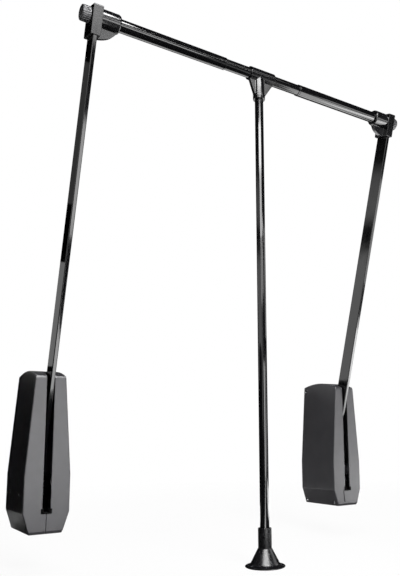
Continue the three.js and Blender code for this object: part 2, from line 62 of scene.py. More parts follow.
eye = Vector((-0.2804, -1.14988, 0.09483))
yaw, pitch, roll = radians(33.99), radians(8.88), radians(-0.66)
ahead = Vector((sin(yaw) * cos(pitch), cos(yaw) * cos(pitch), sin(pitch)))
level = Vector((cos(yaw), -sin(yaw), 0))
above = level.cross(ahead)
picture_right = level * cos(roll) + above * sin(roll)
picture_up = above * cos(roll) - level * sin(roll)

camera_data = bpy.data.cameras.new("camera")
camera_data.sensor_width = 36
camera_data.lens = 39.87
camera_data.shift_x = -0.0944
camera_data.shift_y = 0.0798
camera = bpy.data.objects.new("camera", camera_data)
facing = Matrix((picture_right, picture_up, -ahead)).transposed().to_4x4()
camera.matrix_world = Matrix.Translation(eye) @ facing
bpy.context.scene.collection.objects.link(camera)
bpy.context.scene.camera = camera

# Housing shells
# Each housing is two half shells of charcoal moulded plastic that meet on the arm's plane, one on the
# cabinet's side and one on the room's. The mould leaves small round edges and a fine spark grain.

MM = 0.001
SIDES = ("left", "right")
shell_edge, rim_edge, tab_edge, bevel_steps = 0.7 * MM, 1.8 * MM, 0.3 * MM, 3
sliver, well_wall_area, outer_facing = 0.3 * MM, 30 * MM ** 2, 0.8
weld_reach, coplanar_angle = 0.002 * MM, radians(0.4)
sharp_angle, facet_angle = radians(32), radians(15)
cloud_low, cloud_high = 0.3, 0.7


def shader_of(name):
    """A new material with its nodes, its shader and the object coordinates that its pattern reads."""
    material = bpy.data.materials.new(name)
    material.use_nodes = True
    tree = material.node_tree
    where = tree.nodes.new("ShaderNodeTexCoord").outputs["Object"]
    return material, tree, tree.nodes["Principled BSDF"], where


def noise(tree, where, scale, detail=2.0, stretch=(1, 1, 1)):
    """Cloudy noise with about that many spots in a metre, drawn out along an axis of low stretch."""
    placed = tree.nodes.new("ShaderNodeMapping")
    placed.inputs["Scale"].default_value = stretch
    texture = tree.nodes.new("ShaderNodeTexNoise")
    texture.inputs["Scale"].default_value = scale
    texture.inputs["Detail"].default_value = detail
    tree.links.new(where, placed.inputs["Vector"])
    tree.links.new(placed.outputs["Vector"], texture.inputs["Vector"])
    return texture.outputs["Fac"]


def tinted(tree, share, low, high, target):
    """Colours a socket between two tones, by a share from noise."""
    ramp = tree.nodes.new("ShaderNodeValToRGB")
    ends = zip(ramp.color_ramp.elements, (cloud_low, cloud_high), (low, high))
    for element, position, colour in ends:
        element.position, element.color = position, (*colour, 1)
    tree.links.new(share, ramp.inputs["Fac"])
    tree.links.new(ramp.outputs["Color"], target)


def ranged(tree, share, low, high, target, span=(cloud_low, cloud_high)):
    """Sets a socket between two values, as a share runs over its span."""
    spread = tree.nodes.new("ShaderNodeMapRange")
    ends = zip(("From Min", "From Max", "To Min", "To Max"), (*span, low, high))
    for socket, value in ends:
        spread.inputs[socket].default_value = value
    tree.links.new(share, spread.inputs["Value"])
    tree.links.new(spread.outputs["Result"], target)


def raised(tree, shader, *reliefs):
    """Stacks reliefs of (height, depth in metres) on a shader's surface."""
    below = None
    for height, depth in reliefs:
        bump = tree.nodes.new("ShaderNodeBump")
        bump.inputs["Distance"].default_value = depth
        tree.links.new(height, bump.inputs["Height"])
        if below:
            tree.links.new(below, bump.inputs["Normal"])
        below = bump.outputs["Normal"]
    tree.links.new(below, shader.inputs["Normal"])


def piece_of(name, shape):
    """A new object from a bmesh, with its faces pointing outwards."""
    bmesh.ops.recalc_face_normals(shape, faces=shape.faces)
    mesh = bpy.data.meshes.new(name)
    shape.to_mesh(mesh)
    shape.free()
    piece = bpy.data.objects.new(name, mesh)
    bpy.context.scene.collection.objects.link(piece)
    return piece


def settled(piece):
    """Turns a piece's modifiers into plain mesh."""
    bpy.context.view_layer.update()
    finished = piece.evaluated_get(bpy.context.evaluated_depsgraph_get())
    mesh = bpy.data.meshes.new_from_object(finished)
    piece.modifiers.clear()
    piece.data = mesh
    return piece


def smoothed(piece, angle=sharp_angle):
    """Smooth shading that keeps flat faces flat and sharp edges sharp."""
    piece.data.shade_smooth()
    piece.data.set_sharp_from_angle(angle=angle)
    weighted = piece.modifiers.new("flats", "WEIGHTED_NORMAL")
    weighted.keep_sharp = True
    return settled(piece)


def rounded(piece, radius, share_of=lambda edge: 1, angle=sharp_angle):
    """Rounds a piece's sharp edges, each with its share of the radius."""
    shape = bmesh.new()
    shape.from_mesh(piece.data)
    share = shape.edges.layers.float.new("bevel_weight_edge")
    for edge in shape.edges:
        if len(edge.link_faces) == 2 and edge.calc_face_angle() > angle:
            edge[share] = share_of(edge)
    shape.to_mesh(piece.data)
    shape.free()
    bevel = piece.modifiers.new("edges", "BEVEL")
    bevel.width = radius
    bevel.segments = bevel_steps
    bevel.limit_method = "WEIGHT"
    bevel.use_clamp_overlap = False
    bevel.loop_slide = False
    return smoothed(settled(piece), angle)


def solid_of(node, name):
    """A copy of a CAD solid with its corners merged and its flat faces whole."""
    shape = bmesh.new()
    shape.from_mesh(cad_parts[node].data)
    bmesh.ops.remove_doubles(shape, verts=shape.verts, dist=weld_reach)
    bmesh.ops.dissolve_degenerate(shape, edges=shape.edges, dist=weld_reach)
    bmesh.ops.dissolve_limit(
        shape, angle_limit=coplanar_angle, verts=shape.verts, edges=shape.edges)
    return piece_of(name, shape)


def dressed(piece, material, body, slot, *nodes):
    """Gives a piece its finish and its body, and hides the CAD nodes that it stands for."""
    piece.data.materials.clear()
    piece.data.materials.append(material)
    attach(piece, body)
    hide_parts(*nodes)


def housing_plastic():
    """Charcoal plastic with a spark grain and slight sink marks."""
    material, tree, shader, where = shader_of("charcoal_moulding")
    cloud = noise(tree, where, 35)
    tinted(tree, cloud, (0.052, 0.051, 0.055), (0.06, 0.059, 0.064), shader.inputs["Base Color"])
    ranged(tree, noise(tree, where, 90), 0.32, 0.38, shader.inputs["Roughness"])
    grain = noise(tree, where, 1600, 1)
    sink = noise(tree, where, 18, 0)
    raised(tree, shader, (sink, 0.12 * MM), (grain, 0.012 * MM))
    return material


def rim_share(outward):
    """Full round a shell's outer side but not at its wells, none beside a sliver, low elsewhere."""

    def share_of(edge):
        facing = max(face.normal.x * outward for face in edge.link_faces)
        smallest = min(face.calc_area() for face in edge.link_faces)
        if facing > outer_facing and smallest > well_wall_area:
            return 1
        shortest = min(near.calc_length() for corner in edge.verts for near in corner.link_edges)
        return 0 if shortest < sliver else shell_edge / rim_edge

    return share_of


charcoal = housing_plastic()
for side, part, outward in (
        ("left", "outer_shell", -1), ("left", "inner_shell", 1),
        ("right", "inner_shell", -1), ("right", "outer_shell", 1)):
    shell = solid_of(f"{side}_{part}", f"{side}_{part}_moulding")
    shell = rounded(shell, rim_edge, rim_share(outward), facet_angle)
    dressed(shell, charcoal, f"{side}_housing", "housing_plastic", f"{side}_{part}")
tab = rounded(solid_of("right_seam_tab", "right_seam_cover"), tab_edge)
dressed(tab, charcoal, "right_housing", "housing_plastic", "right_seam_tab")

# Housing screws
# Pan head screws of zinc plated steel with a cross recess close the shells from the room's side. Each
# sits in a round well at a corner.

head_radius, head_height, shank_radius, screw_grip = 3.5 * MM, 2.4 * MM, 1.6 * MM, 14 * MM
dome_foot, dome_reach, dome_angles, screw_facets = 0.35, 0.28, (90, 65, 40, 15), 28
recess_size = (1.3 * head_height, 1.05 * head_radius, 0.26 * head_radius)


def turned(name, profile, facets, closed=True):
    """A body turned about X from points of (run along X, radius). A radius of 0 makes a pole."""
    shape = bmesh.new()
    rings = []
    for run, radius in profile:
        if radius == 0:
            rings.append([shape.verts.new((run, 0, 0))])
            continue
        angles = (2 * pi * step / facets for step in range(facets))
        rings.append([shape.verts.new((run, radius * cos(a), radius * sin(a))) for a in angles])
    pairs = list(zip(rings, rings[1:])) + ([(rings[-1], rings[0])] if closed else [])
    for first, second in pairs:
        for k in range(facets):
            near, far = first[k % len(first)], first[(k + 1) % facets % len(first)]
            corners = [near, far, second[(k + 1) % facets % len(second)], second[k % len(second)]]
            shape.faces.new(dict.fromkeys(corners))
    return piece_of(name, shape)


def placed(piece, matrix):
    """Moves a piece's mesh, with its faces kept outwards."""
    piece.data.transform(matrix)
    if matrix.determinant() < 0:
        piece.data.flip_normals()
    return piece


def zinc_plate():
    """Bright plated steel, slightly brushed."""
    material, tree, shader, where = shader_of("zinc_plating")
    shader.inputs["Metallic"].default_value = 1
    cloud = noise(tree, where, 60)
    tinted(tree, cloud, (0.48, 0.49, 0.52), (0.6, 0.6, 0.61), shader.inputs["Base Color"])
    ranged(tree, noise(tree, where, 700, 2, (1, 0.1, 1)), 0.2, 0.36, shader.inputs["Roughness"])
    raised(tree, shader, (noise(tree, where, 900, 1), 0.01 * MM))
    return material


def screw_blank():
    """One screw along X, its head's underside at X = 0, with the recess cut in."""
    profile = [(-screw_grip, 0), (-screw_grip, shank_radius), (0, shank_radius), (0, head_radius)]
    for angle in map(radians, dome_angles):
        rise = dome_foot + (1 - dome_foot) * cos(angle)
        profile.append((head_height * rise, head_radius * (1 - dome_reach + dome_reach * sin(angle))))
    profile.append((head_height, 0))
    blank = turned("screw_blank", profile, screw_facets, closed=False)
    for turn in (0, 90):
        shape = bmesh.new()
        bmesh.ops.create_cube(shape, size=1)
        spin = Matrix.Rotation(radians(turn), 4, "X") @ Matrix.Diagonal((*recess_size, 1))
        shape.transform(Matrix.Translation((head_height, 0, 0)) @ spin)
        cutter = piece_of("screw_cutter", shape)
        cut = blank.modifiers.new("recess", "BOOLEAN")
        cut.operation = "DIFFERENCE"
        cut.solver = "EXACT"
        cut.object = cutter
        settled(blank)
        bpy.data.objects.remove(cutter)
    return smoothed(blank)


def tree_of(name, *inputs):
    """A geometry nodes tree with named inputs. Gives the tree, its input node and its output node."""
    tree = bpy.data.node_groups.new(name, "GeometryNodeTree")
    tree.interface.new_socket(name="Geometry", in_out="INPUT", socket_type="NodeSocketGeometry")
    for label, kind in inputs:
        tree.interface.new_socket(name=label, in_out="INPUT", socket_type=f"NodeSocket{kind}")
    tree.interface.new_socket(name="Geometry", in_out="OUTPUT", socket_type="NodeSocketGeometry")
    return tree, tree.nodes.new("NodeGroupInput"), tree.nodes.new("NodeGroupOutput")


def chained(tree, first, *nodes):
    """Links the geometry through nodes, from an output socket to the last node."""
    for node in nodes:
        tree.links.new(first, node.inputs[0])
        first = node.outputs[0] if node.outputs else None


def grown(piece, tree, **values):
    """Runs a tree on a piece with its inputs set by name, and keeps the plain mesh."""
    growth = piece.modifiers.new("growth", "NODES")
    growth.node_group = tree
    for item in tree.interface.items_tree:
        key = item.name.replace(" ", "_").lower()
        if item.in_out == "INPUT" and key in values:
            growth[item.identifier] = values[key]
    return settled(piece)


def set_at_points():
    """Sets a copy of one object at each point of a mesh."""
    tree, given, result = tree_of("screws_at_corners", ("Screw", "Object"), ("Finish", "Material"))
    screw = tree.nodes.new("GeometryNodeObjectInfo")
    spots = tree.nodes.new("GeometryNodeInstanceOnPoints")
    real = tree.nodes.new("GeometryNodeRealizeInstances")
    finish = tree.nodes.new("GeometryNodeSetMaterial")
    tree.links.new(given.outputs["Screw"], screw.inputs["Object"])
    tree.links.new(screw.outputs["Geometry"], spots.inputs["Instance"])
    tree.links.new(given.outputs["Finish"], finish.inputs["Material"])
    chained(tree, given.outputs["Geometry"], spots, real, finish, result)
    return tree


zinc = zinc_plate()
blank = screw_blank()
screw_tree = set_at_points()
for side, outward in zip(SIDES, (-1, 1)):
    shape = bmesh.new()
    nodes = [f"{side}_housing_screw_{k}" for k in (1, 2, 3)]
    for node in nodes:
        low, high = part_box(node)
        seat = high.x - head_height if outward < 0 else low.x + head_height
        shape.verts.new((-outward * seat, (low.y + high.y) / 2, (low.z + high.z) / 2))
    screws = grown(piece_of(f"{side}_housing_screws", shape), screw_tree, screw=blank, finish=zinc)
    placed(screws, Matrix.Diagonal((-outward, 1, 1, 1)))
    dressed(screws, zinc, f"{side}_housing", "zinc_steel", *nodes)
bpy.data.objects.remove(blank)

# Rubber stops
# A soft black buffer with side wings closes the slot's lower end and catches the arm when it is down.
# A small pad behind the arm stops it when it is up.

stop_edge = 0.5 * MM


def black_rubber():
    """Dull black rubber."""
    material, tree, shader, where = shader_of("stop_rubber")
    cloud = noise(tree, where, 300)
    tinted(tree, cloud, (0.0015, 0.0015, 0.0015), (0.003, 0.003, 0.003), shader.inputs["Base Color"])
    ranged(tree, noise(tree, where, 120), 0.55, 0.75, shader.inputs["Roughness"])
    shader.inputs["Specular IOR Level"].default_value = 0.04
    raised(tree, shader, (noise(tree, where, 2500, 1), 0.01 * MM))
    return material


rubber = black_rubber()
for side in SIDES:
    for part in ("stop_buffer", "top_pad"):
        stop = rounded(solid_of(f"{side}_{part}", f"{side}_{part}_rubber"), stop_edge)
        dressed(stop, rubber, f"{side}_housing", "rubber", f"{side}_{part}")

# Pivot
# A steel axle through both shells carries the arm's hub on a plastic bush, and a rotary damper sits
# beside it. A pin in the hub pulls the lift spring. All are inside, seen only through the slot.

hub_edge = 0.6 * MM


def satin_moulding(name, smooth, dull):
    """Black moulding between two roughnesses, with slight sink marks and a fine grain."""
    material, tree, shader, where = shader_of(name)
    cloud = noise(tree, where, 45)
    tinted(tree, cloud, (0.005, 0.005, 0.0055), (0.008, 0.008, 0.009), shader.inputs["Base Color"])
    ranged(tree, noise(tree, where, 150), smooth, dull, shader.inputs["Roughness"])
    grain = noise(tree, where, 2200, 1)
    sink = noise(tree, where, 30, 0)
    raised(tree, shader, (sink, 0.05 * MM), (grain, 0.001 * MM))
    return material


def finish_node(node, material):
    """Gives a CAD node that stays a better material."""
    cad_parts[node].material_slots[0].material = material


black = satin_moulding("black_moulding", 0.09, 0.13)
for side in SIDES:
    for part in ("axle", "spring_anchor", "mounting_plate", "crank_pin"):
        finish_node(f"{side}_{part}", zinc)
    for part in ("damper", "pivot_bush"):
        finish_node(f"{side}_{part}", black)
    hub = rounded(solid_of(f"{side}_arm_hub", f"{side}_arm_hub_steel"), hub_edge)
    dressed(hub, zinc, f"{side}_frame", "zinc_steel", f"{side}_arm_hub")

# Lift springs
# A tension spring of oiled steel wire runs from the hub's pin to the anchor pin behind the slot. The
# hooks at its ends are bent from the same wire.

spring_plane, wire_radius, coil_radius, coil_turns = 14 * MM, 1 * MM, 5.5 * MM, 16
hook_run, pin_reach, crank_reach = 12 * MM, (4.7 * MM, 5.2 * MM), 52 * MM
hook_start, hook_turn = 0.25 * pi, 1.25 * pi
steps_a_turn, hook_steps, wire_sides = 20, 16, 10
rail_axis = sum(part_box("middle_rail_tube"), Vector()) / 2


def pivot_of(side):
    """The middle of an arm's pivot."""
    return sum(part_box(f"{side}_pivot_bush"), Vector()) / 2


lean = atan2(pivot_of("left").y - rail_axis.y, rail_axis.z - pivot_of("left").z)


def arm_frame(side):
    """From the arm's own axes, with the pivot at the origin and the arm along Z, to the whole's."""
    return Matrix.Translation(pivot_of(side)) @ Matrix.Rotation(lean, 4, "X")


def spring_route(start, end):
    """The wire's line: a hook round each pin and the turns between them."""
    along, sideways = (end - start).normalized(), Vector((1, 0, 0))
    across = sideways.cross(along)
    span = (end - start).length

    def hook(centre, radius, towards):
        points = []
        for k in range(hook_steps + 1):
            angle = hook_start + hook_turn * k / hook_steps
            run = centre + towards * radius * cos(angle)
            points.append(start + along * run + across * radius * sin(angle))
        return points

    count = coil_turns * steps_a_turn
    first, last = pin_reach[0] + hook_run, span - pin_reach[1] - hook_run
    coil = []
    for k in range(count + 1):
        angle = pi + 2 * pi * coil_turns * k / count
        run = first + (last - first) * k / count
        offset = sideways * coil_radius * sin(angle) + across * coil_radius * cos(angle)
        coil.append(start + along * run + offset)
    return hook(0, pin_reach[0], 1) + coil + hook(span, pin_reach[1], -1)[::-1]


def wire_tree():
    """A round wire along a line of points."""
    tree, given, result = tree_of(
        "wire_on_line", ("Radius", "Float"), ("Sides", "Int"), ("Finish", "Material"))
    line = tree.nodes.new("GeometryNodeMeshToCurve")
    section = tree.nodes.new("GeometryNodeCurvePrimitiveCircle")
    wire = tree.nodes.new("GeometryNodeCurveToMesh")
    wire.inputs["Fill Caps"].default_value = True
    smooth = tree.nodes.new("GeometryNodeSetShadeSmooth")
    real = tree.nodes.new("GeometryNodeRealizeInstances")
    finish = tree.nodes.new("GeometryNodeSetMaterial")
    tree.links.new(given.outputs["Radius"], section.inputs["Radius"])
    tree.links.new(given.outputs["Sides"], section.inputs["Resolution"])
    tree.links.new(section.outputs["Curve"], wire.inputs["Profile Curve"])
    tree.links.new(given.outputs["Finish"], finish.inputs["Material"])
    chained(tree, given.outputs["Geometry"], line, wire, smooth, real, finish, result)
    return tree


def spring_wire():
    """Dark drawn steel with a film of oil."""
    material, tree, shader, where = shader_of("spring_wire")
    shader.inputs["Metallic"].default_value = 1
    cloud = noise(tree, where, 200)
    tinted(tree, cloud, (0.2, 0.2, 0.21), (0.32, 0.31, 0.31), shader.inputs["Base Color"])
    ranged(tree, noise(tree, where, 500), 0.25, 0.42, shader.inputs["Roughness"])
    return material


drawn_wire = spring_wire()
wire = wire_tree()
for side, outward in zip(SIDES, (-1, 1)):
    plane = Vector((outward * spring_plane, 0, 0))
    start = arm_frame(side) @ (plane + Vector((0, 0, crank_reach)))
    end = sum(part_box(f"{side}_spring_anchor"), Vector()) / 2
    end.x = start.x
    shape = bmesh.new()
    points = [shape.verts.new(point) for point in spring_route(start, end)]
    for pair in zip(points, points[1:]):
        shape.edges.new(pair)
    spring = grown(
        piece_of(f"{side}_lift_spring_coil", shape), wire, radius=wire_radius, sides=wire_sides,
        finish=drawn_wire)
    dressed(spring, drawn_wire, f"{side}_housing", "spring_steel", f"{side}_lift_spring")

# Lift arms
# Each arm is a flat rectangular steel tube with round corners and a gloss black coat. It plugs over the
# hub's tongue at its foot and into the corner bracket at its top.

arm_width, arm_depth, arm_wall, arm_corner = 7.2 * MM, 30.8 * MM, 1.2 * MM, 1.5 * MM
arm_start, arm_end = 24 * MM, 787.9 * MM
corner_steps = 8


def gloss_coat():
    """Gloss black powder coat, nearly smooth."""
    material, tree, shader, where = shader_of("gloss_black_coat")
    cloud = noise(tree, where, 12)
    tinted(tree, cloud, (0.0035, 0.0035, 0.004), (0.005, 0.005, 0.0055), shader.inputs["Base Color"])
    ranged(tree, noise(tree, where, 60), 0.05, 0.1, shader.inputs["Roughness"])
    raised(tree, shader, (noise(tree, where, 25, 1), 0.01 * MM))
    return material


def soft_rectangle(width, depth, radius):
    """The points of a rectangle with round corners."""
    points = []
    for x_side, y_side, quarter in ((1, 1, 0), (-1, 1, 1), (-1, -1, 2), (1, -1, 3)):
        x, y = x_side * (width / 2 - radius), y_side * (depth / 2 - radius)
        for k in range(corner_steps + 1):
            angle = (quarter + k / corner_steps) * pi / 2
            points.append((x + radius * cos(angle), y + radius * sin(angle)))
    return points


def flat_tube(name, start, end):
    """The arm's tube along Z, open at both ends."""
    shape = bmesh.new()
    outer = soft_rectangle(arm_width, arm_depth, arm_corner)
    inner = soft_rectangle(arm_width - 2 * arm_wall, arm_depth - 2 * arm_wall, arm_corner / 2)
    loops = [(outer, start), (outer, end), (inner, end), (inner, start)]
    rings = [[shape.verts.new((x, y, z)) for x, y in points] for points, z in loops]
    for first, second in zip(rings, rings[1:] + rings[:1]):
        for k in range(len(first)):
            following = (k + 1) % len(first)
            shape.faces.new((first[k], first[following], second[following], second[k]))
    return piece_of(name, shape)


gloss = gloss_coat()
for side in SIDES:
    arm = smoothed(flat_tube(f"{side}_arm_tube", arm_start, arm_end))
    placed(arm, arm_frame(side))
    dressed(arm, gloss, f"{side}_frame", "gloss_black_steel", f"{side}_arm")

# Corner brackets
# A black moulding joins each arm to the rail: a block with a pocket for the arm, a round socket for
# the rail tube, and a rounded web under the socket.

bracket_edge = 0.6 * MM
bracket_black = satin_moulding("bracket_moulding", 0.15, 0.18)
for side in SIDES:
    bracket = solid_of(f"{side}_corner_bracket", f"{side}_corner_moulding")
    bracket = rounded(bracket, bracket_edge)
    dressed(bracket, bracket_black, f"{side}_frame", "black_moulding", f"{side}_corner_bracket")

# End knobs
# A dark grey fluted knob on the cabinet's side of each bracket clamps the rail tube. Its rim is round
# and its outer face flat.

knob_radius, knob_length, knob_rim, knob_chamfer = 13 * MM, 15 * MM, 2.6 * MM, 0.8 * MM
knob_flutes, flute_depth, flute_fade, facets_a_flute = 24, 0.5 * MM, 6, 8
knob_face, stud_radius, stud_length = 4 * MM, 3 * MM, 6 * MM
side_steps, rim_steps = 10, 6


def grip_plastic():
    """Dark grey plastic with a rough grain."""
    material, tree, shader, where = shader_of("knob_grip")
    cloud = noise(tree, where, 220)
    tinted(tree, cloud, (0.03, 0.03, 0.032), (0.06, 0.06, 0.063), shader.inputs["Base Color"])
    ranged(tree, noise(tree, where, 180), 0.35, 0.5, shader.inputs["Roughness"])
    raised(tree, shader, (noise(tree, where, 1500, 1), 0.04 * MM))
    return material


def flute_tree():
    """Cuts flutes into a turned body's side, evenly round X, fading out towards both ends."""
    tree, given, result = tree_of(
        "knob_flutes", ("Flutes", "Float"), ("Depth", "Float"), ("Start", "Float"), ("Length", "Float"),
        ("Finish", "Material"))

    def sum_of(operation, first, second=None):
        """One step of arithmetic on sockets or numbers."""
        node = tree.nodes.new("ShaderNodeMath")
        node.operation = operation
        for socket, value in zip(node.inputs, (first, second)):
            if isinstance(value, (int, float)):
                socket.default_value = value
            elif value:
                tree.links.new(value, socket)
        return node.outputs[0]

    place = tree.nodes.new("ShaderNodeSeparateXYZ")
    tree.links.new(tree.nodes.new("GeometryNodeInputPosition").outputs[0], place.inputs[0])
    x, y, z = place.outputs
    wave = sum_of("COSINE", sum_of("MULTIPLY", sum_of("ARCTAN2", z, y), given.outputs["Flutes"]))
    share = sum_of("DIVIDE", sum_of("SUBTRACT", x, given.outputs["Start"]), given.outputs["Length"])
    middle = sum_of("MULTIPLY", sum_of("SUBTRACT", share, 0.5), 2)
    faded = sum_of("POWER", sum_of("ABSOLUTE", middle), flute_fade)
    kept = sum_of("MAXIMUM", sum_of("SUBTRACT", 1, faded), 0)
    cut = sum_of("MULTIPLY", sum_of("SUBTRACT", wave, 1), kept)
    cut = sum_of("MULTIPLY", cut, given.outputs["Depth"])
    radial = tree.nodes.new("ShaderNodeCombineXYZ")
    tree.links.new(y, radial.inputs[1])
    tree.links.new(z, radial.inputs[2])
    unit = tree.nodes.new("ShaderNodeVectorMath")
    unit.operation = "NORMALIZE"
    tree.links.new(radial.outputs[0], unit.inputs[0])
    offset = tree.nodes.new("ShaderNodeVectorMath")
    offset.operation = "SCALE"
    tree.links.new(unit.outputs[0], offset.inputs[0])
    tree.links.new(sum_of("MULTIPLY", cut, 0.5), offset.inputs["Scale"])
    move = tree.nodes.new("GeometryNodeSetPosition")
    tree.links.new(offset.outputs[0], move.inputs["Offset"])
    real = tree.nodes.new("GeometryNodeRealizeInstances")
    finish = tree.nodes.new("GeometryNodeSetMaterial")
    tree.links.new(given.outputs["Finish"], finish.inputs["Material"])
    chained(tree, given.outputs["Geometry"], move, real, finish, result)
    return tree


def knob_blank(name, seat):
    """A plain knob along X from its seat, with a stud behind the seat."""
    start, end = seat + knob_chamfer, seat + knob_length
    profile = [(seat - stud_length, 0), (seat - stud_length, stud_radius), (seat, stud_radius),
               (seat, knob_radius - knob_chamfer), (start, knob_radius)]
    run = knob_length - knob_rim - knob_chamfer
    profile += [(start + run * k / side_steps, knob_radius) for k in range(1, side_steps + 1)]
    for k in range(1, rim_steps + 1):
        angle = k / rim_steps * pi / 2
        radius = knob_radius - knob_rim + knob_rim * cos(angle)
        profile.append((end - knob_rim + knob_rim * sin(angle), radius))
    profile += [(end, knob_face), (end, 0)]
    return turned(name, profile, knob_flutes * facets_a_flute, closed=False)


grip = grip_plastic()
flutes = flute_tree()
on_rail = Matrix.Translation((0, rail_axis.y, rail_axis.z))
for side, outward in zip(SIDES, (-1, 1)):
    low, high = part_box(f"{side}_end_knob")
    seat = (-low.x if outward < 0 else high.x) - knob_length
    knob = grown(
        knob_blank(f"{side}_end_knob_grip", seat), flutes, flutes=float(knob_flutes),
        depth=flute_depth, start=seat, length=knob_length, finish=grip)
    placed(smoothed(knob), on_rail @ Matrix.Diagonal((outward, 1, 1, 1)))
    dressed(knob, grip, f"{side}_knob", "knob_grip", f"{side}_end_knob")

# Rail
# An outer tube from each bracket slides over one thinner middle tube, all in gloss black. A plastic
# bush in each outer tube's mouth keeps them in line.

tube_facets, tube_lip, bush_lip = 96, 0.3 * MM, 0.2 * MM
outer_bore, middle_bore = 10.1 * MM, 8.7 * MM


def tube(name, start, end, outer, inner, lip=tube_lip):
    """A tube along X with both ends' edges broken."""
    profile = [
        (start, inner + lip), (start, outer - lip), (start + lip, outer), (end - lip, outer),
        (end, outer - lip), (end, inner + lip), (end - lip, inner), (start + lip, inner)]
    return smoothed(turned(name, profile, tube_facets))


for side in SIDES:
    for part, lip, finish, slot in (
            ("rail_tube", tube_lip, gloss, "gloss_black_steel"),
            ("rail_bush", bush_lip, black, "black_moulding")):
        low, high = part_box(f"{side}_{part}")
        radius = (high.z - low.z) / 2
        sleeve = tube(f"{side}_{part}_turned", low.x, high.x, radius, outer_bore, lip)
        dressed(placed(sleeve, on_rail), finish, f"{side}_frame", slot, f"{side}_{part}")
low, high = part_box("middle_rail_tube")
middle = tube("middle_tube_turned", low.x, high.x, (high.z - low.z) / 2, middle_bore)
dressed(placed(middle, on_rail), gloss, "rail_middle", "gloss_black_steel", "middle_rail_tube")

# Tee connector
# One black moulding: a sleeve round the middle tube, a short column for the handle and a web on each
# side between them.

tee_edge = 0.6 * MM
tee = rounded(solid_of("tee_connector", "tee_moulding"), tee_edge)
dressed(tee, black, "handle", "black_moulding", "tee_connector")

# Handle
# A long gloss black tube hangs from the tee and ends in a bell of black moulding that the hand takes
# hold of. A flat cap closes the bell from below.

handle_bore, bell_facets = 6.8 * MM, 128
low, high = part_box("handle_tube")
handle_axis = (low + high) / 2
upright = Matrix.Translation((handle_axis.x, handle_axis.y, 0)) @ Matrix.Rotation(-pi / 2, 4, "Y")
stick = tube("handle_stick", low.z, high.z, (high.x - low.x) / 2, handle_bore)
dressed(placed(stick, upright), gloss, "handle", "gloss_black_steel", "handle_tube")

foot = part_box("handle_bell")[0].z


def foot_piece(name, profile, facets):
    """A turned piece from points of (rise above the handle's foot, radius) in millimetres."""
    points = [(foot + rise * MM, radius * MM) for rise, radius in profile]
    return placed(smoothed(turned(name, points, facets, closed=False)), upright)


bell_profile = [
    (2.4, 0), (2.4, 24.3), (0, 24.3), (0, 33.3), (0.3, 33.9), (1.0, 34.3), (1.7, 34.2), (2.2, 33.6),
    (2.6, 32.4), (3.2, 30.0), (3.8, 28.0), (4.6, 26.3), (5.8, 25.1), (8.0, 23.95), (30.0, 12.3),
    (30.3, 12.0), (30.5, 11.6), (63.0, 11.6), (63.4, 11.4), (63.5, 11.0), (63.5, 8.3), (36.0, 8.3),
    (36.0, 0)]
bell = foot_piece("handle_bell_turned", bell_profile, bell_facets)
soft_black = satin_moulding("bell_moulding", 0.26, 0.32)
dressed(bell, soft_black, "handle", "black_moulding", "handle_bell")

cap_profile = [(0, 0), (0, 23.7), (0.3, 24), (1.8, 24), (2.1, 23.7), (2.1, 0)]
cap = foot_piece("bell_cap_turned", cap_profile, tube_facets)
dressed(cap, black, "handle", "black_moulding", "bell_cap")

# Studio
# A pale floor lies just under the bell. Three soft lamps give plain light. Lit cards and black flags,
# which the camera doesn't see, shape the reflections in the gloss black parts.

floor_level = cad_low.z - 0.2 * MM
sheet_level = floor_level + 1 * MM
card_level = sheet_level + 1 * MM
floor_reach, paper_tone, flag_tone = 12, 0.92, 0.002
clearness, clear_span = (0.93, 1), (0.6, 2)
front_wall, band_radius, bent_steps = -2.16, 1.6, 4


def stage_sheet(name, points, faces, material, seen_by):
    """A thin sheet of the studio, seen only by the kinds of ray that are named."""
    mesh = bpy.data.meshes.new(name)
    mesh.from_pydata([tuple(point) for point in points], [], faces)
    mesh.materials.append(material)
    sheet = bpy.data.objects.new(name, mesh)
    bpy.context.scene.collection.objects.link(sheet)
    for kind in ("camera", "diffuse", "glossy", "transmission", "shadow"):
        setattr(sheet, f"visible_{kind}", kind in seen_by)


def stage_plane(name, corners, material, *seen_by):
    """A flat sheet between its corners."""
    stage_sheet(name, corners, [tuple(range(len(corners)))], material, seen_by)


def blended(tree, share, first, second):
    """Mixes two shaders by a share."""
    mixed = tree.nodes.new("ShaderNodeMixShader")
    for socket, source in zip(mixed.inputs, (share, first, second)):
        tree.links.new(source, socket)
    return mixed.outputs[0]


